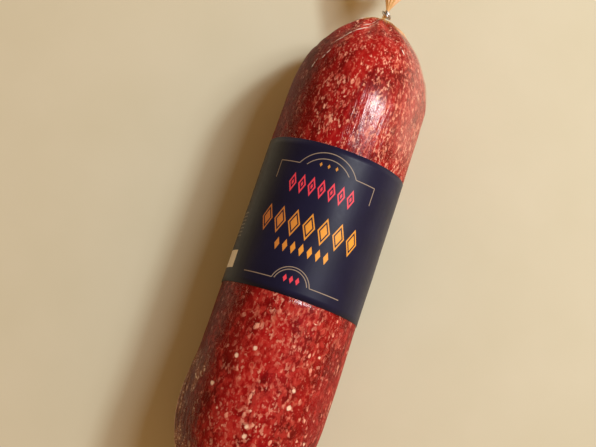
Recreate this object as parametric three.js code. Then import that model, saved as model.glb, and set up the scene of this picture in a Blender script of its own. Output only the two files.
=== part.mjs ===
// A whole cured sausage in its casing, lying on its side. Five pieces:
//   meat_filling   the solid log of cured meat
//   casing         the film skin, gathered to a neck at each end and open again in a pleated tail
//   label_band     the printed film wrapped once round the middle
//   top_clip, bottom_clip   the aluminium wire closed round each neck
// Millimetres, +Z up. The log lies along Y with its longer tail towards +Y, on the plane z = 0,
// and the origin is under the middle of the whole length.
import * as THREE from 'three';

// Driving dimensions
const RADIUS = 46;             // of the log between its rounded ends
const BODY_LENGTH = 350;       // clip to clip
const TOP_TAIL = 46;           // loose casing beyond the +Y clip
const BOTTOM_TAIL = 30;        // loose casing beyond the -Y clip
const AXIS_HEIGHT = 45;        // less than the radius: the log flattens where it lies
const LABEL_HEIGHT = 98;       // along the log
const LABEL_BELOW_CLIP = 109;  // top clip to the label's upper edge

const FILM = 0.4;              // wall of the casing and of the label
const GAP = 0.3;               // clearance between neighbouring layers
const LABEL_RAMP = 6;          // the casing dips under the label over this length
const AROUND = 40;             // segments round the log

// Rounded ends
const DOME_LENGTH = 1.65 * RADIUS;
const DOME_START = 0.12 * RADIUS;
const DOME_BLUNTNESS = 2.5;
const DOME_FULLNESS = 1 / 1.55;

// Gathers
const NECK_RADIUS = 1.5;
const FOLDED_WALL = 0.95;      // film folded on itself, with a channel left down the middle
const NECK_REACH = 4.2;        // the neck is a plain cylinder this far each side of the clip
const PLEATS = 10;
const PLEAT_DEPTH = 0.12;      // of the radius, on the shoulder
const PLEAT_REACH = 32;        // the shoulder's pleats have gone this far from the clip
const MEAT_START = 6;          // clip to the end of the meat

// Tails
const TAIL_ANGLE = THREE.MathUtils.degToRad(18.5);
const TAIL_FLATNESS = 0.32;    // height over width
const TAIL_PLEAT_DEPTH = 0.22;
const TAIL_DROOP = 4;          // of the top tail's end; a shorter tail droops less

// Clips
const WIRE_RADIUS = 0.95;
const CLIP_RING_RADIUS = NECK_RADIUS + GAP + WIRE_RADIUS;
const CLIP_TURNS = 1.15;
const CLIP_PITCH = 2 * WIRE_RADIUS + GAP;
const CLIP_SLANT = Math.tan(THREE.MathUtils.degToRad(30));  // seen from above, off square to the neck

// Places along Y
const END = (BODY_LENGTH + TOP_TAIL + BOTTOM_TAIL) / 2;
const TOP_CLIP_Y = END - TOP_TAIL;
const BOTTOM_CLIP_Y = BOTTOM_TAIL - END;
const LABEL_TOP = TOP_CLIP_Y - LABEL_BELOW_CLIP;
const LABEL_BOTTOM = LABEL_TOP - LABEL_HEIGHT;

const { clamp, lerp, smoothstep } = THREE.MathUtils;

// Distance along the log from the nearer clip, negative in a tail.
const fromClip = (y) => Math.min(TOP_CLIP_Y - y, y - BOTTOM_CLIP_Y);

// Outer radius of the log: a blunt dome that grows out of the neck, then a plain cylinder.
function logRadius(y) {
  const along = clamp((fromClip(y) - DOME_START) / DOME_LENGTH, 0, 1);
  const dome = RADIUS * (1 - (1 - along) ** DOME_BLUNTNESS) ** DOME_FULLNESS;
  return Math.min(RADIUS, Math.hypot(NECK_RADIUS, dome));
}

// Section of the outermost skin at y: half width, half height, pleat depth and centre height.
function section(y) {
  const inside = fromClip(y);
  if (inside >= -NECK_REACH) {
    const rise = smoothstep(inside, NECK_REACH, 2 * NECK_REACH);
    const pleat = PLEAT_DEPTH * rise * (1 - smoothstep(inside, NECK_REACH, PLEAT_REACH));
    const radius = inside <= NECK_REACH ? NECK_RADIUS : logRadius(y);
    return { width: radius, height: radius, pleat, centre: AXIS_HEIGHT };
  }
  const out = -inside - NECK_REACH;
  const spread = out * Math.tan(TAIL_ANGLE);
  const pleat = TAIL_PLEAT_DEPTH * smoothstep(out, 0, TOP_TAIL / 3);
  return {
    width: (NECK_RADIUS + spread) / (1 + pleat),
    height: NECK_RADIUS + TAIL_FLATNESS * spread,
    pleat,
    centre: AXIS_HEIGHT - TAIL_DROOP * (out / TOP_TAIL) ** 2,
  };
}

// How far the casing's outside lies below the outermost skin: it dips to make room for the label.
function casingDepth(y) {
  const beyond = Math.max(LABEL_BOTTOM - y, y - LABEL_TOP, 0);
  return (FILM + GAP) * (1 - clamp(beyond / LABEL_RAMP, 0, 1));
}

// Film wall: single round the log, folded thick through the neck and in the tail.
const casingWall = (y) => lerp(FOLDED_WALL, FILM, smoothstep(fromClip(y), NECK_REACH, 4 * NECK_REACH));

// A solid spun round the log's axis. Each profile point is { y, depth }, with depth measured
// inwards from the outermost skin, or { y, onAxis: true }. Each ring is then shaped to its
// section, pleated, and pressed flat on the plane below it.
function skinSolid(profile) {
  const points = profile.map(({ y, onAxis }) => new THREE.Vector2(onAxis ? 0 : logRadius(y), y));
  const geometry = new THREE.LatheGeometry(points, AROUND);
  const position = geometry.attributes.position;
  for (let i = 0; i < position.count; i++) {
    const { y, depth, onAxis } = profile[i % profile.length];
    const { width, height, pleat, centre } = section(y);
    if (onAxis) {
      position.setXYZ(i, 0, y, centre);
      continue;
    }
    const angle = (Math.floor(i / profile.length) % AROUND) * 2 * Math.PI / AROUND;
    const ripple = 1 + pleat * Math.cos(PLEATS * (angle - Math.PI / 2));
    const x = (width * ripple - depth) * Math.sin(angle);
    const z = centre + (height * ripple - depth) * Math.cos(angle);
    position.setXYZ(i, x, y, Math.max(z, depth));
  }
  alignDiagonals(geometry.index, profile);
  return geometry;
}

// A lathe splits every four-sided face on the diagonal that follows its profile, so the two sides
// of a film would be split crosswise and meet where it is pleated. Where the profile runs back
// towards -Y, the face is split on its other diagonal, and the two sides stay parallel.
function alignDiagonals(index, profile) {
  const rings = profile.length;
  for (let around = 0; around < AROUND; around++) {
    for (let ring = 0; ring < rings - 1; ring++) {
      if (profile[ring + 1].y >= profile[ring].y) continue;
      const a = around * rings + ring;
      const b = a + rings;
      const corners = [a, b, b + 1, a, b + 1, a + 1];
      const first = 6 * (around * (rings - 1) + ring);
      corners.forEach((corner, k) => index.setX(first + k, corner));
    }
  }
}

// Stations along Y, all in rising order
const DOME_STATIONS = [MEAT_START, 8, 11, 15.5, 22, 31, 43, 58, 78];
const LOG_STATIONS = [
  ...DOME_STATIONS.map((d) => BOTTOM_CLIP_Y + d),
  LABEL_BOTTOM - LABEL_RAMP, LABEL_BOTTOM, LABEL_TOP, LABEL_TOP + LABEL_RAMP,
  ...DOME_STATIONS.map((d) => TOP_CLIP_Y - d).reverse(),
];
const tailStations = (length) => [0, 0.08, 0.22, 0.4, 0.65, 1].map((t) => lerp(NECK_REACH, length, t));
const CASING_STATIONS = [
  ...tailStations(BOTTOM_TAIL).map((d) => BOTTOM_CLIP_Y - d).reverse(),
  BOTTOM_CLIP_Y + NECK_REACH,
  ...LOG_STATIONS,
  TOP_CLIP_Y - NECK_REACH,
  ...tailStations(TOP_TAIL).map((d) => TOP_CLIP_Y + d),
];

function meatFilling() {
  const skin = LOG_STATIONS.map((y) => ({ y, depth: casingDepth(y) + casingWall(y) + GAP }));
  return skinSolid([
    { y: LOG_STATIONS[0], onAxis: true },
    ...skin,
    { y: LOG_STATIONS.at(-1), onAxis: true },
  ]);
}

function casing() {
  const outside = CASING_STATIONS.map((y) => ({ y, depth: casingDepth(y) }));
  const inside = CASING_STATIONS.map((y) => ({ y, depth: casingDepth(y) + casingWall(y) })).reverse();
  return skinSolid([...outside, ...inside, outside[0]]);
}

function labelBand() {
  const corner = (y, depth) => ({ y, depth });
  return skinSolid([
    corner(LABEL_BOTTOM, 0),
    corner(LABEL_TOP, 0),
    corner(LABEL_TOP, FILM),
    corner(LABEL_BOTTOM, FILM),
    corner(LABEL_BOTTOM, 0),
  ]);
}

// The wire's centre line: a little over one turn round the neck, slanted across it, its two ends
// side by side.
class ClipCurve extends THREE.Curve {
  constructor(y) {
    super();
    this.y = y;
  }

  getPoint(t, target = new THREE.Vector3()) {
    const turn = CLIP_TURNS * (t - 0.5);
    const angle = 2 * Math.PI * turn;
    const x = CLIP_RING_RADIUS * Math.sin(angle);
    return target.set(
      x,
      this.y + CLIP_PITCH * turn - CLIP_SLANT * x,
      AXIS_HEIGHT - CLIP_RING_RADIUS * Math.cos(angle),
    );
  }
}

function clip(y) {
  const wire = new THREE.Shape().absarc(0, 0, WIRE_RADIUS, 0, 2 * Math.PI);
  return new THREE.ExtrudeGeometry(wire, {
    steps: 30, curveSegments: 8, bevelEnabled: false, extrudePath: new ClipCurve(y),
  });
}

const material = (color, roughness, metalness, opacity = 1) =>
  new THREE.MeshStandardMaterial({ color, roughness, metalness, opacity, transparent: opacity < 1 });

function piece(name, geometry, finish) {
  const mesh = new THREE.Mesh(geometry, finish);
  mesh.name = name;
  return mesh;
}

const aluminium = material(0xc9cbcc, 0.35, 1);

const sausage = new THREE.Group();
sausage.add(
  piece('meat_filling', meatFilling(), material(0x8a2a22, 0.55, 0)),
  piece('casing', casing(), material(0xd99a5b, 0.3, 0, 0.35)),
  piece('label_band', labelBand(), material(0x1b1a26, 0.45, 0)),
  piece('top_clip', clip(TOP_CLIP_Y), aluminium),
  piece('bottom_clip', clip(BOTTOM_CLIP_Y), aluminium),
);

export default sausage;
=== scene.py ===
"""A whole cured sausage lying on its side: a log of minced meat in a translucent casing film, gathered at
each end under a wire clip into a pleated tail, with a dark printed label wrapped round its middle."""
import functools
import math

import bpy
import numpy as np
from mathutils import Matrix, Vector

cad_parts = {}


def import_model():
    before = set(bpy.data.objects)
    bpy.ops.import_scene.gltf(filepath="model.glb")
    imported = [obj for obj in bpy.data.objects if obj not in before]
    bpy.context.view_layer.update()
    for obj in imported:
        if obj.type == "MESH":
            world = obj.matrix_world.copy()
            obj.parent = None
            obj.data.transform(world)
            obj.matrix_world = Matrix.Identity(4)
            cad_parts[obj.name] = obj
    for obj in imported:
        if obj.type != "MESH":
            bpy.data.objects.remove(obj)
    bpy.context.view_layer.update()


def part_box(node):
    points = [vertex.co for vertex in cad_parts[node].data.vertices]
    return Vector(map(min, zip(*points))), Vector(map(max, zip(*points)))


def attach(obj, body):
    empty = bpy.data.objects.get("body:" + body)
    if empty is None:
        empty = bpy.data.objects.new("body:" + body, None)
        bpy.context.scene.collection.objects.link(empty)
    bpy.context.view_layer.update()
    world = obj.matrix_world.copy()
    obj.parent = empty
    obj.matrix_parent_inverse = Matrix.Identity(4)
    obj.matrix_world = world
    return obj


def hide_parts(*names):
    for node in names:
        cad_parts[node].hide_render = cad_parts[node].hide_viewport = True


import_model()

MM = 0.001
TAU = 2 * math.pi

# ---- Sizes: the object's from the frame, then those that only the looks need ----------------------------


def middle(node):
    """Centre of a CAD node's box."""
    low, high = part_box(node)
    return (low + high) / 2


casing_low, casing_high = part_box("casing")
label_low, label_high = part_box("label_band")
RADIUS = (casing_high.x - casing_low.x) / 2
AXIS_HEIGHT = casing_high.z - RADIUS
TOP_CLIP = middle("top_clip").y
BOTTOM_CLIP = middle("bottom_clip").y
TOP_END, BOTTOM_END = casing_high.y, casing_low.y
LABEL_TOP, LABEL_BOTTOM = label_high.y, label_low.y
LABEL_HEIGHT = LABEL_TOP - LABEL_BOTTOM
CLIP_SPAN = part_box("top_clip")[1].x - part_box("top_clip")[0].x

# Layers, as depths below the outermost skin
LABEL_WALL = 0.15 * MM
FILM_WALL = 0.12 * MM
NECK_FOLDING = 0.9 * MM           # the folded film is thicker by this in each neck, and double in a tail
FILM_DEPTH = 0.10 * MM            # away from the label
FILM_UNDER_LABEL = 0.27 * MM
MEAT_GAP = 0.14 * MM
NECK_GAP = 4.2 * MM               # the film stands off the meat near each neck
SHOULDER_GAP = 0.8 * MM           # and a little on the right of each shoulder
LABEL_RAMP = 3 * MM

# Rounded ends and gathers
DOME_LENGTH = 1.65 * RADIUS
DOME_START = 0.09 * RADIUS
DOME_BLUNTNESS = 2.5
DOME_FULLNESS = 1 / 1.55
NECK_RADIUS = 1.45 * MM
NECK_REACH = 4.0 * MM
MEAT_START = 6.0 * MM
MEAT_CAP = 1.2 * MM
PLEATS = 11
SHOULDER_PLEAT_DEPTH = 0.10       # of the radius
TAIL_PLEAT_DEPTH = 0.15
PLEAT_SWING = 3.2                 # radians by which the pleats' wave shifts from a clip to its tail's mouth
TAIL_SLOPE = math.tan(math.radians(21.5))
TAIL_FLATNESS = 0.34
TAIL_DROOP = 3.5 * MM
MOUTH_RAGGEDNESS = 1.6 * MM

# The top shoulder's own shape
SHOULDER_LEAN = 2.6 * MM          # it bulges this far to one side of the neck
SHOULDER_DENT = 4.2 * MM          # and is drawn flat this deep between that bulge and the neck
SHOULDER_DRAW = 1.6 * MM          # its right is drawn in this deep
NECK_FLARE = 2.6 * MM             # and stands out this far beside the neck
NOTCH_START, NOTCH_END = 20 * MM, 38.5 * MM   # from the clip, where its left is drawn in
NOTCH_DEPTH = 1.1 * MM

# Clips
WIRE_RADIUS = 0.95 * MM
WIRE_GAP = 0.15 * MM              # between the wire's two ends
CLIP_TURNS = 1.15
CLIP_SLANT = math.tan(math.radians(30))

# The slack film on the low left flank: its angle round the log, and its reach from the bottom clip
SLACK_ANGLE = math.radians(-88)
SLACK_HALF_ANGLE = math.radians(38)
SLACK_START, SLACK_END = 104 * MM, 12 * MM
SLACK_BULGE = 1.4 * MM

# Relief of the skin
UNEVENNESS = 0.22 * MM
TIGHT_WRINKLES = 0.030 * MM
LOOSE_WRINKLES = 0.16 * MM        # more than the tight ones
CREST_HEIGHT = 0.9 * MM           # the height of a fold that counts as 1 in its finish
UNDERSIDE_SOFTNESS = 0.25 * MM    # of the edge of the strip that it lies on

# ---- Surfaces worked out as whole arrays ----------------------------------------------------------------


def smoothstep(x, low, high):
    """0 below low, 1 above high, and 3t^2 - 2t^3 between."""
    t = np.clip((x - low) / (high - low), 0, 1)
    return t * t * (3 - 2 * t)


def bump(x, centre, width):
    """A bell, exp of minus the square of the distance from centre over width."""
    return np.exp(-(((x - centre) / width) ** 2))


def wrapped(angle):
    """An angle brought between minus pi and pi."""
    return (angle + math.pi) % TAU - math.pi


def from_clip(y):
    """Distance along the log from the nearer clip, negative in a tail."""
    return np.minimum(TOP_CLIP - y, y - BOTTOM_CLIP)


def waves(angle, y, seed, count, around, along):
    """A sum of cosines of random direction and phase, periodic round the log, with unit spread. around is the
    range of whole waves round the log, along the range of wavelengths along it."""
    random = np.random.default_rng(seed)
    total = np.zeros(np.broadcast(angle, y).shape)
    for _ in range(count):
        turns = random.integers(around[0], around[1] + 1)
        length = random.uniform(*along) * random.choice((-1, 1))
        total += np.cos(turns * angle + TAU * y / length + random.uniform(0, TAU))
    return total * math.sqrt(2 / count)


def log_radius(y):
    """Radius of the log: a blunt dome, R (1 - (1 - t)^bluntness)^fullness, that grows out of the neck, then a
    plain cylinder."""
    t = np.clip((from_clip(y) - DOME_START) / DOME_LENGTH, 0, 1)
    dome = RADIUS * (1 - (1 - t) ** DOME_BLUNTNESS) ** DOME_FULLNESS
    return np.minimum(RADIUS, np.hypot(NECK_RADIUS, dome))


# Folds in the film, most of them from a neck down its shoulder: side (+1 top end, -1 bottom end), angle
# round the log in degrees from straight up where the fold starts and where it ends, and in millimetres its
# start and end from the clip, its width round the log and its height
FOLDS = (
    (1, -13, -31, 7, 21, 1.5, 0.5), (1, -16, -48, 16, 42, 1.5, 0.5), (1, -66, -68, 6, 39, 1.8, 0.58),
    (1, -40, -47, 42, 55, 1.6, 0.35), (1, -50, -52, 51, 61, 1.6, 0.35), (1, 25, 31, 27, 35, 1.4, 0.5),
    (1, 48, 52, 6, 36, 1.3, 0.5), (1, 84, 87, 4, 70, 0.9, 0.95), (1, -92, -84, 5, 41, 1.2, 0.95),
    (1, -112, -118, 8, 33, 1.0, 0.66), (1, 112, 104, 5, 38, 1.1, 0.70), (1, 131, 139, 7, 30, 0.9, 0.66),
    (1, 161, 150, 5, 35, 1.2, 0.70), (1, -146, -134, 5, 44, 1.3, 0.74), (1, -168, -172, 6, 27, 1.0, 0.66),
    (-1, -31, -56, 76, 110, 1.4, 0.35), (-1, -85, -87, 14, 102, 1.2, 0.85),
    (-1, -70, -62, 5, 46, 1.5, 0.66), (-1, -36, -43, 5, 37, 1.0, 0.70),
    (-1, -12, -4, 8, 29, 0.9, 0.66), (-1, 13, 21, 6, 33, 1.0, 0.70), (-1, 52, 43, 5, 39, 1.1, 0.72),
    (-1, 74, 80, 9, 30, 0.9, 0.66), (-1, 101, 90, 5, 45, 1.3, 0.74), (-1, 128, 133, 7, 31, 0.9, 0.66),
    (-1, 157, 148, 5, 38, 1.2, 0.70), (-1, -128, -117, 5, 48, 1.3, 0.74), (-1, -158, -163, 7, 32, 1.0, 0.66),
)

# Painted glints, thin bright highlights painted on the film along its creases: side, angle in degrees where
# each starts and ends, and in millimetres its start and end from the clip and its width
GLINTS = (
    (1, -13, -31, 7, 21, 0.6), (1, -16, -48, 16, 42, 0.65), (1, -9, -20, 13, 20, 0.4),
    (1, -64, -77, 6, 27, 0.6), (1, -41, -46, 44, 54, 0.5), (1, -50, -52, 52, 61, 0.5),
    (1, 25, 31, 28, 34, 0.9), (-1, 20, 31, 8, 30, 0.5), (-1, -34, -22, 7, 26, 0.5), (1, 148, 162, 8, 27, 0.5),
)


def folds(angle, y):
    """Sum of narrow ridges down the shoulders, each a bell across its width that fades at both its ends."""
    total = np.zeros(np.broadcast(angle, y).shape)
    for side, start_angle, end_angle, start, end, width, height in FOLDS:
        inside = (TOP_CLIP - y if side > 0 else y - BOTTOM_CLIP) / MM
        along = (inside - start) / (end - start)
        line = np.radians(start_angle + (end_angle - start_angle) * np.clip(along, 0, 1))
        across = wrapped(angle - line) * np.maximum(log_radius(y), 2 * MM)
        fade = smoothstep(along, 0, 0.25) * (1 - smoothstep(along, 0.75, 1))
        total += height * MM * bump(across, 0, width * MM) * fade
    return total


def slackness(angle, y):
    """1 in the slack film of the low left flank, 0 outside it: a bell round the log times a soft stretch
    along it."""
    from_bottom = y - BOTTOM_CLIP
    along = smoothstep(from_bottom, SLACK_END, 3 * SLACK_END) * (1 - smoothstep(
        from_bottom, 0.55 * SLACK_START, SLACK_START))
    return along * bump(wrapped(angle - SLACK_ANGLE), 0, 0.7 * SLACK_HALF_ANGLE)


def looseness(angle, y):
    """How loosely the film lies, from 0 to 1: at both shoulders, and where it is slack."""
    shoulder = 1 - smoothstep(from_clip(y), 10 * MM, 60 * MM)
    return np.clip(0.55 * shoulder + slackness(angle, y), 0, 1)


def under_label(y):
    """1 under the label, fading to 0 a few millimetres beyond its edges."""
    beyond = np.maximum(np.maximum(LABEL_BOTTOM - y, y - LABEL_TOP), 0)
    return 1 - smoothstep(beyond, 0, LABEL_RAMP)


def hollows(angle, y):
    """Depth to which the top shoulder is drawn in: a flat between its bulge and the neck, a hollow on its
    right, and a notch on its left that deepens slowly and ends in a step. The film that flares beside the
    neck counts as less than none."""
    from_top = TOP_CLIP - y

    def patch(depth, centre, length, turn, half_turn):
        """A bell along the log times a bell round it."""
        return depth * bump(from_top, centre, length) * bump(wrapped(angle - turn), 0, half_turn)

    notch = smoothstep(from_top, NOTCH_START, NOTCH_END)
    notch = notch * (1 - smoothstep(from_top, NOTCH_END, NOTCH_END + 2 * MM))
    return (patch(SHOULDER_DENT, 15 * MM, 11 * MM, -1.05, 0.9)
            - patch(NECK_FLARE, 8 * MM, 5 * MM, 1.4, 0.6)
            + patch(SHOULDER_DRAW, 19 * MM, 15 * MM, 1.3, 0.7)
            + NOTCH_DEPTH * notch * bump(wrapped(angle + 1.35), 0, 0.5))


def skin_relief(angle, y):
    """Height of the casing's own relief: a slow unevenness of the filling, fine wrinkles along the log,
    stronger where the film is loose, the folds of the shoulders and the bulge of the slack film, less the
    hollows of the top shoulder. The label presses out the wrinkles and the folds."""
    free = 1 - under_label(y)
    body = smoothstep(from_clip(y), 2 * MM, 14 * MM)
    slow = UNEVENNESS * waves(angle, y, 3, 14, (1, 6), (60 * MM, 200 * MM))
    fine = waves(angle, y, 5, 40, (28, 84), (22 * MM, 90 * MM))
    fine = (TIGHT_WRINKLES + LOOSE_WRINKLES * looseness(angle, y)) * fine
    slack = SLACK_BULGE * slackness(angle, y)
    return body * (slow * (0.3 + 0.7 * free) + free * (fine + folds(angle, y)) + slack - hollows(angle, y))


def skin(angle, y, depth, relief=1.0):
    """Points of a layer that lies depth below the outermost skin. The section is a circle on the log and a
    flattened, pleated oval in a tail; it is pressed flat, with a soft edge, on the plane z = 0."""
    inside = from_clip(y)
    out = np.maximum(-inside - NECK_REACH, 0)
    in_tail = inside < -NECK_REACH
    tail_length = np.where(y > 0, TOP_END - TOP_CLIP, BOTTOM_CLIP - BOTTOM_END)
    share = out / tail_length

    shoulder = smoothstep(inside, NECK_REACH, 8 * MM) * (1 - smoothstep(inside, 6 * MM, 40 * MM))
    pleat = SHOULDER_PLEAT_DEPTH * shoulder + TAIL_PLEAT_DEPTH * smoothstep(out, 0, 12 * MM)
    swing = 0.25 * waves(angle, 0 * y, 11, 5, (1, 4), (1, 2)) + PLEAT_SWING * share * np.sign(y)
    crumple = waves(angle, y, 17, 8, (12, 30), (14 * MM, 40 * MM))
    ripple = pleat * np.cos(PLEATS * angle + swing) + 0.05 * in_tail * smoothstep(share, 0, 0.4) * crumple

    round_radius = np.where(inside > NECK_REACH, log_radius(y), NECK_RADIUS)
    width = round_radius + out * TAIL_SLOPE
    height = round_radius + out * TAIL_SLOPE * TAIL_FLATNESS
    rise = relief * np.where(inside > 0, skin_relief(angle, y), 0) - depth
    lean = SHOULDER_LEAN * bump(TOP_CLIP - y, 12 * MM, 10 * MM)
    x = (width * (1 + ripple) + rise) * np.sin(angle) - lean
    z = (height * (1 + ripple) + rise) * np.cos(angle)
    z = z + AXIS_HEIGHT - TAIL_DROOP * (out / (TOP_END - TOP_CLIP)) ** 2
    rest = np.maximum(depth, 0)
    z = rest + UNDERSIDE_SOFTNESS * np.logaddexp(0, (z - rest) / UNDERSIDE_SOFTNESS)
    ragged = MOUTH_RAGGEDNESS * share ** 2 * (waves(angle, 0 * y, 23, 9, (1, 9), (1, 2)) - 1.2)
    return np.stack([x, y + np.sign(y) * ragged, z], axis=-1)


def grid_mesh(name, points, closed_across, caps=(), uv=None, fields=None):
    """A mesh from an array of points[ring, across, xyz] whose rings close on themselves. closed_across joins
    the last ring to the first. caps lists pairs of a ring and the point that closes it with a fan. uv is a
    pair of arrays, u for each column edge and v for each ring, kept as the map that a bake uses. fields are
    numbers for each point, by name, kept for the finish."""
    rings, columns = points.shape[:2]
    index = np.arange(rings * columns).reshape(rings, columns)
    right = np.roll(index, -1, axis=1)
    below, above = (index, np.roll(index, -1, axis=0)) if closed_across else (index[:-1], index[1:])
    below_right, above_right = (
        (right, np.roll(right, -1, axis=0)) if closed_across else (right[:-1], right[1:]))
    quads = np.stack([below, above, above_right, below_right], axis=-1).reshape(-1, 4)
    vertices = points.reshape(-1, 3)
    fans = []
    for ring, pole in caps:
        apex = len(vertices)
        vertices = np.vstack([vertices, pole])
        a, b = index[ring], right[ring]
        tip = np.full(columns, apex)
        fans.append(np.stack([a, b, tip] if ring == 0 else [b, a, tip], axis=-1))
    mesh = bpy.data.meshes.new(name)
    fan_faces = [tuple(face) for fan in fans for face in fan.tolist()]
    mesh.from_pydata(vertices.tolist(), [], [tuple(q) for q in quads.tolist()] + fan_faces)
    if uv is not None:
        u, v = uv
        column = np.tile(np.arange(columns), len(below))
        ring = np.repeat(np.arange(len(below)), columns)
        us = np.stack([u[column], u[column], u[column + 1], u[column + 1]], axis=-1)
        vs = np.stack([v[ring], v[ring + 1], v[ring + 1], v[ring]], axis=-1)
        corners = np.stack([us, vs], axis=-1).reshape(-1, 2)
        rest = np.full((3 * len(fan_faces), 2), 0.0)
        rest[:, 1] = np.repeat([v[0], v[-1]][: len(fans)], 3 * columns) if fans else 0
        layer = mesh.uv_layers.new(name="OFBake")
        layer.data.foreach_set("uv", np.vstack([corners, rest]).astype(np.float32).ravel())
    for field, values in (fields or {}).items():
        numbers = np.zeros(len(vertices), np.float32)
        numbers[: values.size] = values.ravel()
        mesh.attributes.new(field, "FLOAT", "POINT").data.foreach_set("value", numbers)
    mesh.polygons.foreach_set("use_smooth", np.ones(len(mesh.polygons), bool))
    mesh.update()
    piece = bpy.data.objects.new(name, mesh)
    bpy.context.scene.collection.objects.link(piece)
    return piece


def between(*stops):
    """Stations from runs of (start, end, step), each run split evenly into steps of about that length."""
    runs = [np.linspace(a, b, max(2, round(abs(b - a) / step) + 1))[:-1] for a, b, step in stops]
    return np.concatenate(runs + [np.array([stops[-1][1]])])


def angles(columns):
    """Angles round the log, from straight down, with +X on the way up."""
    return math.pi - np.arange(columns) / columns * TAU


# ---- Shader maths ---------------------------------------------------------------------------------------


class Value:
    """A shader socket that takes part in arithmetic; each operator adds one Math node."""

    def __init__(self, finish, socket):
        self.finish, self.socket = finish, socket

    def math(self, operation, *others):
        sockets = dict(enumerate((self, *others)))
        return self.finish.node("Math", {"operation": operation}, sockets)

    def __add__(self, other):
        return self.math("ADD", other)

    def __rsub__(self, other):
        return self.finish.node("Math", {"operation": "SUBTRACT"}, {0: other, 1: self})

    def __sub__(self, other):
        return self.math("SUBTRACT", other)

    def __mul__(self, other):
        return self.math("MULTIPLY", other)

    def __truediv__(self, other):
        return self.math("DIVIDE", other)

    __radd__, __rmul__ = __add__, __mul__

    def __abs__(self):
        return self.math("ABSOLUTE")

    def low(self, other):
        return self.math("MINIMUM", other)

    def high(self, other):
        return self.math("MAXIMUM", other)

    def step(self, start, end):
        """0 at start, 1 at end, smooth between; start may be the greater."""
        return self.finish.node(
            "MapRange", {"interpolation_type": "SMOOTHSTEP"}, {0: self, 1: start, 2: end, 3: 0.0, 4: 1.0})


class Nodes:
    """A node tree, with the one method that adds its nodes."""

    def __init__(self, tree):
        self.tree = tree
        tree.nodes.clear()

    def link(self, socket, value):
        if isinstance(value, Value):
            value = value.socket
        if isinstance(value, bpy.types.NodeSocket):
            self.tree.links.new(socket, value)
        else:
            socket.default_value = value

    def node(self, kind, settings=None, sockets=None, out=0):
        """Adds a node: its type, its settings, the values or links of its sockets, and the output wanted."""
        made = self.tree.nodes.new("ShaderNode" + kind)
        for key, value in (settings or {}).items():
            setattr(made, key, value)
        for key, value in (sockets or {}).items():
            self.link(made.inputs[key], value)
        return Value(self, made.outputs[out])

    def axis(self, name, where=None):
        where = where or self.node("TexCoord", out="Object")
        return self.node("SeparateXYZ", {}, {0: where}, out=name)

    def mix(self, factor, a, b):
        return self.node("Mix", {"data_type": "RGBA"}, {0: factor, 6: a, 7: b}, out=2)


class Finish(Nodes):
    """A material of one Principled shader, with helpers that add its nodes."""

    def __init__(self, name, **uniform):
        self.material = bpy.data.materials.new(name)
        self.material.use_nodes = True
        super().__init__(self.material.node_tree)
        self.output = self.tree.nodes.new("ShaderNodeOutputMaterial")
        self.shader = self.tree.nodes.new("ShaderNodeBsdfPrincipled")
        self.link(self.output.inputs["Surface"], self.shader.outputs[0])
        self.set(**uniform)

    def set(self, **sockets):
        for key, value in sockets.items():
            self.link(self.shader.inputs[key.replace("_", " ")], value)

    def pushed(self, where, reach):
        """Coordinates pushed about by a fine noise of up to about reach metres."""
        push = self.node("TexNoise", {}, {"Vector": where, "Scale": 460.0, "Detail": 2.0}, out="Color")
        push = self.node("VectorMath", {"operation": "SUBTRACT"}, {0: push, 1: (0.5, 0.5, 0.5)})
        push = self.node("VectorMath", {"operation": "SCALE"}, {0: push, "Scale": 2 * reach})
        return self.node("VectorMath", {"operation": "ADD"}, {0: where, 1: push})

    def place(self, scale=(1, 1, 1)):
        """Object coordinates, scaled along each axis."""
        where = self.node("TexCoord", out="Object")
        return self.node("VectorMath", {"operation": "MULTIPLY"}, {0: where, 1: scale})

    def noise(self, where, size, detail=2.0, rough=0.5):
        """A noise whose features are about size metres across, from 0 to 1."""
        return self.node("TexNoise", {}, {
            "Vector": where, "Scale": 1 / size, "Detail": detail, "Roughness": rough}, out="Fac")

    def cells(self, where, size, settings=None):
        """Distance to the nearest of scattered points about size metres apart, and a random number for
        each."""
        made = self.node("TexVoronoi", settings, {"Vector": where, "Scale": 1 / size}, out="Distance")
        return made, self.node("SeparateColor", {}, {0: made.socket.node.outputs["Color"]})

    def bumps(self, height, distance, strength=1.0):
        return self.node("Bump", {}, {"Height": height, "Distance": distance, "Strength": strength})


def colour(r, g, b):
    """A linear colour from screen values of 0 to 255."""
    screen = (r / 255, g / 255, b / 255)
    return (*(c / 12.92 if c <= 0.04045 else ((c + 0.055) / 1.055) ** 2.4 for c in screen), 1.0)


# ---- Finishes -------------------------------------------------------------------------------------------


def white_grains(f, x, y, z):
    """Mask of a few round white grains on the bottom half: of the cells of the unrolled skin, a patchy noise
    chooses some, and each grain in them has a radius of its own."""
    unrolled = f.node("CombineXYZ", {}, {0: x.math("ARCTAN2", z - AXIS_HEIGHT) * RADIUS, 1: y})
    distance, chance = f.cells(f.pushed(unrolled, 0.0007), 0.0105, {"voronoi_dimensions": "2D"})
    chosen = (chance * f.noise(unrolled, 0.022, 1.0).step(0.35, 0.60)).step(0.58, 0.62)
    grain = (distance - (chance * 0.62 - 0.435)).step(0.055, -0.045) * chosen
    return grain * y.step(LABEL_BOTTOM, LABEL_BOTTOM - 0.008)


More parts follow.
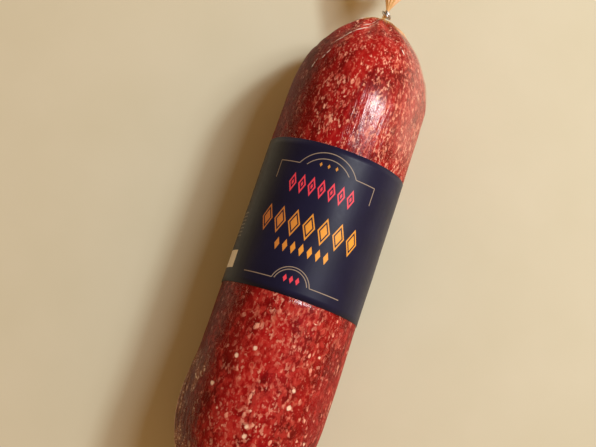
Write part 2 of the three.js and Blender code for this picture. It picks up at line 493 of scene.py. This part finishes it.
def meat_finish():
    """Minced cured meat: lean of several reds, pink fat under it in soft patches, crowded flecks, dots and
    short strands of fat over it, and a few round white grains on the bottom half. The pattern is drawn out
    along the log. Below the label's middle it is drawn out less, and its flecks are larger and softer. The
    left flank and the lower right are painted darker as shade, and the upper right carries more fat as a
    painted paleness where the light falls."""
    f = Finish("cured_meat", Specular_IOR_Level=0.06, Subsurface_Weight=0.05, Subsurface_Scale=0.0012)
    f.shader.inputs["Subsurface Radius"].default_value = (1.0, 0.25, 0.12)
    x, y, z = (f.axis(name) for name in "XYZ")
    below = y - (LABEL_TOP + LABEL_BOTTOM) / 2
    along = below.low(0.0) * 0.62 + below.high(0.0) * 0.46
    low_half = below.step(0.004, -0.004)
    coarse = 1 - low_half * 0.30
    left = x.step(-0.012, -0.040)

    def minced(warp, seed):
        """Places in the mince: drawn out along the log, moved by seed, and pushed about by warp metres."""
        where = f.node("CombineXYZ", {}, {0: x * coarse + seed, 1: along * coarse, 2: z * coarse})
        return f.pushed(where, warp)

    # Where fat is crowded, and where it is sparse: fewer flecks on the left flank and the lower right are
    # painted shade, and more flecks on the upper right are a painted paleness where the light falls
    plain = minced(0.0, 0.0)
    torn = minced(0.0008, 0.3)
    patch = f.noise(plain, 0.009, 2.0, 0.5)
    sparse = left * 0.07 + low_half * (x.step(0.010, 0.036) * 0.06 - 0.020)
    sparse = sparse - x.step(0.004, 0.030) * (1 - low_half) * 0.025
    crowd = (patch - 0.5) * (0.30 - low_half * 0.14) - sparse

    # Masks of the fat, from soft smears down to crumbs
    smear = (f.noise(torn, 0.0023, 3.0, 0.6) + crowd).step(0.46, 0.62)
    shred = (f.noise(minced(0.0005, 0.7), 0.0015, 2.0, 0.6) + crowd).step(0.560, 0.635)
    strand = 1 - (abs(f.noise(minced(0.0004, 1.1), 0.0050, 1.0) - 0.5) * 34).low(1.0)
    strand = strand * f.noise(plain, 0.0050, 1.0).step(0.54, 0.62) * (1 - low_half * 0.5)
    dots, dot_tone = f.cells(torn, 0.0023)
    dots = (dots - (dot_tone * 0.62 - 0.28) - crowd * 0.6 - low_half * 0.065).step(0.08, -0.06)
    crumbs, crumb_tone = f.cells(minced(0.0004, 1.9), 0.0014)
    crumbs = (crumbs - (crumb_tone * 0.66 - 0.30) - crowd * 0.5 - low_half * 0.05).step(0.09, -0.07)

    # The lean, the fat, and the fat laid over the lean
    lean = f.mix(f.noise(torn, 0.007, 2.0, 0.5).step(0.34, 0.64), colour(108, 0, 6), colour(154, 12, 20))
    lean = f.mix(f.noise(plain, 0.015, 2.0).step(0.50, 0.70) * 0.4, lean, colour(182, 28, 26))
    # Painted shade: the lean darkens on the left flank and on the lower right
    shade = left * 0.70 + x.step(-0.004, 0.020) * low_half * 0.22
    lean = f.mix(shade, lean, colour(84, 0, 2))
    pale = f.noise(torn, 0.0032, 2.0).step(0.38, 0.66)
    fat = f.mix(pale, colour(206, 96, 84), colour(248, 192, 170))
    # Painted shade: the fat darkens on the left flank; it is also a little darker on the bottom half
    fat = f.mix(left * 0.5 + low_half * 0.12, fat, colour(150, 40, 34))
    body = f.mix(smear * (0.36 + low_half * 0.20), lean, colour(194, 62, 56))
    body = f.mix(crumbs * (0.62 - low_half * 0.18), body, fat)
    body = f.mix(shred * (0.74 - low_half * 0.24), body, fat)
    body = f.mix(dots * (0.35 + pale * 0.64 - low_half * 0.08), body, fat)
    body = f.mix(strand * 0.55, body, colour(238, 156, 128))
    # Painted shade: the whole mince darkens again towards the left flank
    body = f.mix(x.step(-0.010, -0.042) * 0.31, body, colour(66, 2, 0))
    body = f.mix(white_grains(f, x, y, z) * 0.88, body, colour(248, 226, 206))
    height = shred * 0.5 + dots * 0.6 + strand * 0.4
    f.set(Base_Color=body, Normal=f.bumps(height, 0.0001, 0.5), Roughness=0.60 - dots * 0.12)
    return f.material


def slack_film(f, y, turned):
    """Masks of the slack film on the low left flank: its whole ragged patch, a paler bloom in it, and white
    specks in the bloom."""
    ragged = f.noise(f.place((1, 0.5, 1)), 0.010, 3.0) - 0.5
    from_bottom = y - BOTTOM_CLIP + ragged * 0.030
    inner = SLACK_ANGLE + SLACK_HALF_ANGLE
    waver = ragged * 0.8
    slack = (turned + waver).step(inner + 0.10, inner - 0.16) * (turned - waver).step(-2.5, -1.8)
    slack = slack * from_bottom.step(SLACK_START, SLACK_START - 0.016) * from_bottom.step(0.006, 0.020)
    bloom = f.noise(f.place((1, 0.45, 1)), 0.006, 2.0).step(0.42, 0.62) * slack
    specks = f.noise(f.place((1, 0.7, 1)), 0.0013, 1.0).step(0.60, 0.67) * bloom
    return slack, bloom, specks


def painted_glints(f, y, turned, radius):
    """Mask of the painted glints in GLINTS, highlights along thin creases: each a straight line on the
    unrolled skin that fades at both ends, broken here and there."""
    creases = []
    for side, start_angle, end_angle, start, end, width in GLINTS:
        inside = TOP_CLIP - y if side > 0 else y - BOTTOM_CLIP
        share = (inside - start * MM) / ((end - start) * MM)
        turn = math.radians(end_angle - start_angle)
        across = abs(turned - share * turn - math.radians(start_angle)) * radius
        thin = across.step(0.75 * width * MM, 0.25 * width * MM)
        creases.append(thin * share.step(0.0, 0.25) * share.step(1.0, 0.75))
    return functools.reduce(Value.high, creases) * f.noise(f.place(), 0.0030, 2.0).step(0.30, 0.48)


def clear_film(f, gathered, normal):
    """The film where it is see-through: clear, amber where it is gathered, with a gloss on its outer side
    that grows edge-on."""
    clear = f.node("BsdfTransparent", {}, {"Color": (0.99, 0.96, 0.94, 1)})
    amber = f.node("BsdfTransparent", {}, {"Color": (0.99, 0.89, 0.70, 1)})
    through = f.node("MixShader", {}, {0: gathered, 1: clear, 2: amber})
    gloss = f.node("BsdfGlossy", {}, {"Color": (1, 1, 1, 1), "Roughness": 0.18, "Normal": normal})
    edge_on = f.node("LayerWeight", {}, {"Blend": 0.5}, out="Facing")
    outside = 1 - f.node("NewGeometry", out="Backfacing")
    mirror = (edge_on.math("POWER", 5.0) * 0.04 + 0.036) * outside * (1 - gathered * 0.6)
    return f.node("MixShader", {}, {0: mirror, 1: through, 2: gloss})


def film_finish():
    """Casing film: nearly clear and glossy where it lies as one layer; amber and denser where it is gathered,
    and in a strip beside the top neck; pale on the crests of its folds, where it lies double and partly as a
    painted highlight, and with painted glints along thin creases; a faint painted sheen on the right of the
    top shoulder; and brown with white specks where it lies slack on the low left flank. It is wrinkled
    finely along the log."""
    f = Finish("casing_film", Roughness=0.36, IOR=1.40)
    x, y, z = (f.axis(name) for name in "XYZ")
    inside = (TOP_CLIP - y).low(y - BOTTOM_CLIP)
    height = z - AXIS_HEIGHT
    turned = x.math("ARCTAN2", height)
    radius = (x * x + height * height).math("SQRT")

    pleat = f.noise(f.node("CombineXYZ", {}, {0: turned * 0.010, 1: inside * 0.2}), 0.0022, 2.0)
    gathered = (inside - (pleat - 0.5) * 0.020).step(0.013, 0.004)
    in_tail = inside.step(-0.001, -0.006)
    streak = f.noise(f.place((1, 0.05, 1)), 0.0012, 3.0, 0.6)
    crease = f.noise(f.pushed(f.place((1, 0.11, 1)), 0.0008), 0.0034, 3.0, 0.6)
    slack, bloom, specks = slack_film(f, y, turned)
    fold = f.node("Attribute", {"attribute_name": "fold"}, out="Fac")
    # Crests of the high folds: pale where the film lies double, and partly a painted highlight
    crest = fold.step(0.60, 1.0) * f.noise(f.place(), 0.0050, 2.0).step(0.24, 0.40)
    glint = painted_glints(f, y, turned, radius)

    # A painted sheen on the right of the top shoulder, the film that stands clear of the meat, the bare strip
    # by the neck
    painted_sheen = inside.step(0.112, 0.085) * y.step(0.0, 0.02) * turned.step(0.25, 0.95) * turned.step(2.0, 1.3)
    painted_sheen = painted_sheen * (1 - gathered)
    clear_of_meat = inside.step(0.066, 0.030) * turned.step(0.6, 1.3) * turned.step(2.6, 2.0)
    strip = (turned - inside * 62).step(-0.05, 0.35) * inside.step(0.024, 0.011) * turned.step(2.1, 1.6)
    strip = strip * y.step(0.0, 0.1) * (1 - gathered)

    amber_tone = f.mix(streak, colour(226, 174, 104), colour(242, 204, 142))
    tail_edge = x.step(-0.001, -0.006) * inside.step(0.0, -0.006)
    amber_tone = f.mix(tail_edge * 0.55, amber_tone, colour(150, 92, 40))
    tone = f.mix(gathered, colour(170, 60, 46), amber_tone)
    tone = f.mix(clear_of_meat * 0.8, tone, colour(240, 196, 152))
    tone = f.mix(strip, tone, f.mix(streak, colour(222, 158, 92), colour(250, 212, 156)))
    tone = f.mix(slack, tone, f.mix(bloom, colour(116, 38, 24), colour(170, 102, 72)))
    tone = f.mix(specks, tone, colour(236, 224, 208))
    # Pale crests of the high folds, where the film lies double; partly a painted highlight
    tone = f.mix(crest, tone, colour(246, 218, 204))
    # Painted sheen: a pale pink reflection laid over the right of the top shoulder
    tone = f.mix(painted_sheen * (1 - strip) * (1 - crest), tone, colour(236, 190, 176))
    # Painted glints: near-white highlights along thin creases
    tone = f.mix(glint, tone, colour(255, 238, 228))

    # At most nearly opaque, and at least barely there
    # The painted glints, the painted sheen and the partly painted crests also make the film denser
    opacity = gathered * 0.42 + slack * 0.30 + bloom * 0.12 + specks * 0.6 + crest * 0.72
    opacity = opacity + clear_of_meat * 0.05 + strip * (0.46 + streak * 0.3) + glint * 0.85
    opacity = opacity + painted_sheen * (0.05 + streak * 0.11) + gathered * (streak - 0.5) * 0.25
    opacity = (opacity + in_tail * 0.12).low(0.94).high(0.006)

    normal = f.bumps(streak * 0.5 + crease * 1.6, 0.00035, 0.9)
    f.set(Base_Color=tone, Normal=normal)
    film = f.node("MixShader", {}, {0: opacity, 1: clear_film(f, gathered, normal), 2: f.shader.outputs[0]})
    f.link(f.output.inputs["Surface"], film)
    return f.material


def label_finish():
    """Dark navy printed film. The print is laid out in millimetres: across from the design's middle, and up
    from the label's lower edge. It is a frame of thin lines with an arch at its top and at its foot, rows of
    lozenges, and towards the back a blank pale panel and fine ruled marks."""
    f = Finish("label_film", Specular_IOR_Level=0.28)
    uv = f.node("UVMap", {"uv_map": "OFBake"})
    across = (0.5 - f.axis("X", uv)) * (TAU * RADIUS / MM) + 4.4
    up = f.axis("Y", uv) * (LABEL_HEIGHT / MM)
    side = abs(across)
    soft, line = 0.12, 0.27

    def box(horizontal, vertical, half_width, half_height):
        inside = (abs(horizontal) - half_width).high(abs(vertical) - half_height)
        return inside.step(soft, -soft)

    def level(start, end, v):
        """A thin line across on both sides of the middle, from start to end."""
        return box(side - (start + end) / 2, up - v, (end - start) / 2, line)

    def upright(u, v_from, v_to):
        return box(side - u, up - (v_from + v_to) / 2, line, (v_to - v_from) / 2)

    def arch(half_width, foot, top):
        """The part above foot of a thin circle that is half_width from the middle there and reaches top."""
        rise = top - foot
        radius = (half_width ** 2 + rise ** 2) / (2 * rise)
        centre = up - (top - radius)
        away = (across * across + centre * centre).math("SQRT")
        return (abs(away - radius) - line).step(soft, -soft) * (up - foot).step(-soft, soft)

    def row(pitch, half_width, half_height, v):
        """How far out a point is in its lozenge, 1 on the edge, in a row of them pitch apart."""
        nearest = across - (across / pitch).math("ROUND") * pitch
        return abs(nearest) / half_width + abs(up - v) / half_height

    def solid(shape, edge=1.0):
        return (shape - edge).step(0.05, -0.05)

    def within(half_width):
        return (side - half_width).step(soft, -soft)

    tall = row(9.8, 4.1, 9.0, 44.5)
    gold = (solid(tall) - solid(tall, 0.78) + solid(tall, 0.56)) * within(34)
    gold = gold.high(solid(row(5.4, 1.7, 4.1, 29.5)) * within(18.5))
    tall_rose = row(6.5, 2.6, 6.5, 69.5)
    rose = (solid(tall_rose) - solid(tall_rose, 0.62) + solid(tall_rose, 0.30)) * within(22.6)
    rose = rose.high(solid(row(4.0, 1.3, 2.5, 10.2)) * within(6.0))

    lines = level(19.0, 33.5, 82.5).high(upright(33.5, 71, 82.5)).high(arch(19.0, 82.5, 93.0))
    lines = lines.high(arch(14.0, 82.5, 89.0)).high(level(12.3, 33.8, 8.5)).high(arch(12.3, 8.5, 18.0))
    lines = lines.high(arch(10.6, 8.5, 16.4))
    stars = solid(row(5.2, 0.9, 1.5, 84.6)) * within(8.5)
    panel = box(across + 55, up - 15, 7, 5.8)
    ruled = box(across + 58.5, up - 38, 6.5, 9) * ((up / 2.6).math("FRACT") - 0.5).step(0.05, 0.25)

    mottled = f.noise(f.place(), 0.02, 3.0)
    navy = f.mix(mottled, colour(20, 18, 38), colour(30, 29, 60))
    # Painted shade: the navy darkens towards the label's left side
    navy = f.mix(across.step(-24.0, -54.0) * 0.8, navy, colour(12, 10, 14))
    base = f.mix(lines * 0.58, navy, colour(190, 168, 144))
    # Painted shade: the gilt is duller and browner towards the label's left, brighter towards its right
    gilt = f.mix(across.step(-30.0, 12.0), colour(190, 116, 60), colour(230, 156, 56))
    base = f.mix(gold, base, gilt)
    base = f.mix(rose, base, colour(226, 66, 84))
    base = f.mix(stars * 0.8, base, colour(220, 150, 60))
    base = f.mix(panel, base, colour(226, 220, 208))
    base = f.mix(ruled * 0.30, base, colour(190, 186, 176))
    ripple = f.noise(f.place((1, 0.2, 1)), 0.012, 2.0)
    f.set(Base_Color=base, Roughness=0.36 + f.noise(f.place(), 0.003, 2.0) * 0.1 - gold * 0.06,
          Normal=f.bumps(ripple, 0.0006, 0.35))
    return f.material


def clip_finish():
    """Drawn aluminium wire, bright, with fine lines along it, dulled and scratched in patches."""
    f = Finish("clip_wire", Metallic=1.0)
    scratches = f.noise(f.place((1, 4, 1)), 0.0006, 4.0, 0.7)
    worn = f.noise(f.place(), 0.0025, 3.0, 0.6).step(0.45, 0.7)
    f.set(Base_Color=f.mix(worn, colour(236, 232, 230), colour(184, 178, 174)),
          Roughness=0.26 + scratches * 0.2 + worn * 0.12, Normal=f.bumps(scratches, 0.0001, 0.4))
    return f.material


# ---- Pieces ---------------------------------------------------------------------------------------------


def meat_piece():
    """The log of meat: the skin's surface less the film, ending in a small blunt cap at each neck."""
    columns = 300
    start, end = BOTTOM_CLIP + MEAT_START, TOP_CLIP - MEAT_START
    y = between((start, start + 0.02, 0.0012), (start + 0.02, start + 0.07, 0.002),
                (start + 0.07, end - 0.07, 0.003), (end - 0.07, end - 0.02, 0.002),
                (end - 0.02, end, 0.0012))[:, None]
    angle = angles(columns)[None, :]
    near = from_clip(y)
    right = bump(wrapped(angle - math.pi / 2), 0, 1.1)
    loose = NECK_GAP * (1 - smoothstep(near, 7 * MM, 22 * MM)) * (0.2 + 0.8 * right)
    loose = loose + SHOULDER_GAP * (1 - smoothstep(near, 34 * MM, 66 * MM)) * right
    loose = loose + 1.2 * SLACK_BULGE * slackness(angle, y)
    depth = FILM_DEPTH + (FILM_UNDER_LABEL - FILM_DEPTH) * under_label(y) + FILM_WALL + MEAT_GAP + loose
    points = skin(angle, y + 0 * angle, depth + 0 * angle)
    cap = np.array([0, MEAT_CAP, 0])
    ends = [(0, points[0].mean(0) - cap), (len(y) - 1, points[-1].mean(0) + cap)]
    uv = (np.linspace(0, 1, columns + 1), (y[:, 0] - y[0, 0]) / (y[-1, 0] - y[0, 0]))
    return grid_mesh("meat_log", points, False, ends, uv)


def casing_piece():
    """The film from tail mouth to tail mouth, as one closed wall: its outside, and its inside on the way
    back."""
    columns = 300
    top, bottom = TOP_CLIP, BOTTOM_CLIP
    y = between(
        (BOTTOM_END, bottom - 0.006, 0.0025), (bottom - 0.006, bottom + 0.02, 0.0012),
        (bottom + 0.02, bottom + 0.07, 0.0024), (bottom + 0.07, LABEL_BOTTOM - 0.004, 0.0045),
        (LABEL_BOTTOM - 0.004, LABEL_BOTTOM + 0.001, 0.0012), (LABEL_BOTTOM + 0.001, LABEL_TOP - 0.001, 0.02),
        (LABEL_TOP - 0.001, LABEL_TOP + 0.004, 0.0012), (LABEL_TOP + 0.004, top - 0.07, 0.0045),
        (top - 0.07, top - 0.02, 0.0022), (top - 0.02, top + 0.006, 0.0012), (top + 0.006, TOP_END, 0.0022))
    near = from_clip(y)
    wall = FILM_WALL * (1 + (near < 0)) + NECK_FOLDING * bump(near, 0, 6 * MM)
    depth = FILM_DEPTH + (FILM_UNDER_LABEL - FILM_DEPTH) * under_label(y)
    both = np.concatenate([y, y[::-1]])[:, None]
    depths = np.concatenate([depth, (depth + wall)[::-1]])[:, None]
    angle = angles(columns)[None, :]
    points = skin(angle, both + 0 * angle, depths + 0 * angle)
    along = (y - y[0]) / (y[-1] - y[0])
    v = np.concatenate([0.9 * along, 0.905 + 0.095 * along, [1.0]])
    fold = folds(angle, both) / CREST_HEIGHT
    return grid_mesh("casing_film", points, True, (), (np.linspace(0, 1, columns + 1), v), {"fold": fold})


def label_piece():
    """The label: one thin wall wrapped round the log, with a slight step where its end laps over its start
    at the back."""
    columns = 288
    y = between((LABEL_BOTTOM, LABEL_TOP, 0.004))
    angle = angles(columns)[None, :]
    both = np.concatenate([y, y[::-1]])[:, None]
    depths = np.concatenate([0 * y, 0 * y + LABEL_WALL])[:, None]
    past_seam = wrapped(angle - math.radians(140))
    lap = 0.10 * MM * smoothstep(past_seam, 0, 0.012) * (1 - smoothstep(past_seam, 0.16, 0.30))
    ripple = 0.05 * MM * waves(angle, both, 31, 10, (2, 9), (40 * MM, 120 * MM))
    points = skin(angle, both + 0 * angle, depths + 0.06 * MM - lap - ripple, relief=0.9)
    v = np.concatenate([(y - y[0]) / (y[-1] - y[0]), (y[::-1] - y[0]) / (y[-1] - y[0]), [0.0]])
    return grid_mesh("label_wrap", points, True, (), (np.linspace(0, 1, columns + 1), v))


def clip_piece(name, centre_y):
    """A clip: wire of rounded section carried a little over one turn round the neck, slanted across it,
    flattened where the tool pressed it, its ends side by side. Across, the wire is |cos|^0.7 by |sin|^0.7,
    signed."""
    steps, columns = 96, 20
    ring = CLIP_SPAN / 2 - WIRE_RADIUS
    t = np.linspace(-0.5, 0.5, steps)[:, None]
    bend = TAU * CLIP_TURNS * t
    swing = np.arange(columns)[None, :] / columns * TAU
    tip = np.sqrt(np.clip(1 - (np.abs(t) * 2) ** 40, 0.12, 1))
    press = 1 - 0.14 * bump(np.cos(2 * bend), 1, 0.5)
    radial = WIRE_RADIUS * press * tip * np.sign(np.cos(swing)) * np.abs(np.cos(swing)) ** 0.7
    axial = WIRE_RADIUS * tip * np.sign(np.sin(swing)) * np.abs(np.sin(swing)) ** 0.7
    r = ring * (0.965 + 0.035 * np.cos(4 * bend)) + radial
    x = r * np.sin(bend)
    z = AXIS_HEIGHT - r * np.cos(bend)
    y = centre_y + (2 * WIRE_RADIUS + WIRE_GAP) * CLIP_TURNS * t + axial - CLIP_SLANT * x
    points = np.stack(np.broadcast_arrays(x, y, z), axis=-1)
    ends = [(0, points[0].mean(0)), (steps - 1, points[-1].mean(0))]
    return grid_mesh(name, points, False, ends)


def dress(piece, material, slot, *nodes):
    """Gives a piece its finish, and lets it stand for its CAD nodes on the one body. slot is not used."""
    piece.data.materials.append(material)
    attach(piece, "root")
    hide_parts(*nodes)


dress(meat_piece(), meat_finish(), "meat", "meat_filling")
dress(casing_piece(), film_finish(), "casing_film", "casing")
dress(label_piece(), label_finish(), "label_film", "label_band")
wire_finish = clip_finish()
dress(clip_piece("wire_clip_top", TOP_CLIP), wire_finish, "clip_wire", "top_clip")
dress(clip_piece("wire_clip_bottom", BOTTOM_CLIP), wire_finish, "clip_wire", "bottom_clip")

# ---- Floor, light and camera ----------------------------------------------------------------------------


def floor():
    """A plain pale floor."""
    half = 12.0
    mesh = bpy.data.meshes.new("floor")
    corners = [(-half, -half, 0), (half, -half, 0), (half, half, 0), (-half, half, 0)]
    mesh.from_pydata(corners, [], [(0, 1, 2, 3)])
    piece = bpy.data.objects.new("floor", mesh)
    bpy.context.scene.collection.objects.link(piece)
    f = Finish("floor", Roughness=0.7)
    f.set(Base_Color=f.mix(f.noise(f.place(), 0.06, 3.0), colour(199, 191, 165), colour(207, 199, 176)))
    mesh.materials.append(f.material)


def area_light(name, towards, distance, width, length, power, tint):
    """A lamp that faces a point just beyond the log's middle from distance metres away along towards. It is
    width metres across the log and length metres along it."""
    lamp = bpy.data.lights.new(name, "AREA")
    lamp.shape = "RECTANGLE"
    lamp.size, lamp.size_y = width, length
    lamp.energy = power
    lamp.color = tint
    holder = bpy.data.objects.new(name, lamp)
    direction = Vector(towards).normalized()
    across = Vector((0, 1, 0)).cross(direction).normalized()
    turned = Matrix((across, direction.cross(across), direction)).transposed().to_4x4()
    aim = Vector((0, 30 * MM, AXIS_HEIGHT))
    holder.matrix_world = Matrix.Translation(aim + direction * distance) @ turned
    bpy.context.scene.collection.objects.link(holder)
    return holder


def world():
    """Soft warm surroundings, brighter in a ring above the horizon and on the key's side, dim overhead and in
    mirror images, and pale where they show behind the floor."""
    surroundings = bpy.data.worlds.new("studio")
    surroundings.use_nodes = True
    n = Nodes(surroundings.node_tree)
    direction = n.node("TexCoord", out="Generated")
    ring = n.axis("Z", direction).step(0.80, 0.45)
    mirrored = n.node("LightPath", out="Is Glossy Ray")
    strength = (ring * (n.axis("X", direction) * 0.42 + 0.50) + 0.30) * (1 - mirrored * 0.75)
    seen = n.node("LightPath", out="Is Camera Ray")
    tint = n.mix(seen, (1.0, 0.585, 0.25, 1), colour(206, 190, 160))
    background = n.node("Background", {}, {"Color": tint, "Strength": strength})
    output = n.tree.nodes.new("ShaderNodeOutputWorld")
    n.link(output.inputs["Surface"], background)
    bpy.context.scene.world = surroundings


def camera():
    """Looks down on the log from a little towards its bottom end, turned so that the log leans to the right.
    focal is the lens's focal length in picture widths."""
    tilt, roll = math.radians(9.8), math.radians(18.74)
    distance, focal = 784 * MM, 2.01342
    aim = Vector((-11.35 * MM, TOP_CLIP - 154.6 * MM, AXIS_HEIGHT))
    back = Vector((0, -math.sin(tilt), math.cos(tilt)))
    right = Vector((math.cos(roll), math.sin(roll) * math.cos(tilt), math.sin(roll) * math.sin(tilt)))
    up = back.cross(right)
    data = bpy.data.cameras.new("camera")
    data.sensor_width = 36.0
    data.lens = 36.0 * focal
    data.clip_end = 20
    holder = bpy.data.objects.new("camera", data)
    turned = Matrix((right, up, back)).transposed().to_4x4()
    holder.matrix_world = Matrix.Translation(aim + back * distance) @ turned
    bpy.context.scene.collection.objects.link(holder)
    bpy.context.scene.camera = holder


floor()
area_light("key", (0.50, 0.49, 0.71), 1.8, 0.20, 0.20, 15.8, (0.81, 0.94, 1.0)).visible_glossy = False
area_light("softbox", (0.473, 0.345, 0.810), 1.8, 0.76, 0.22, 19, (0.94, 0.98, 1.0))
world()
camera()
bpy.context.scene.view_settings.view_transform = "Standard"
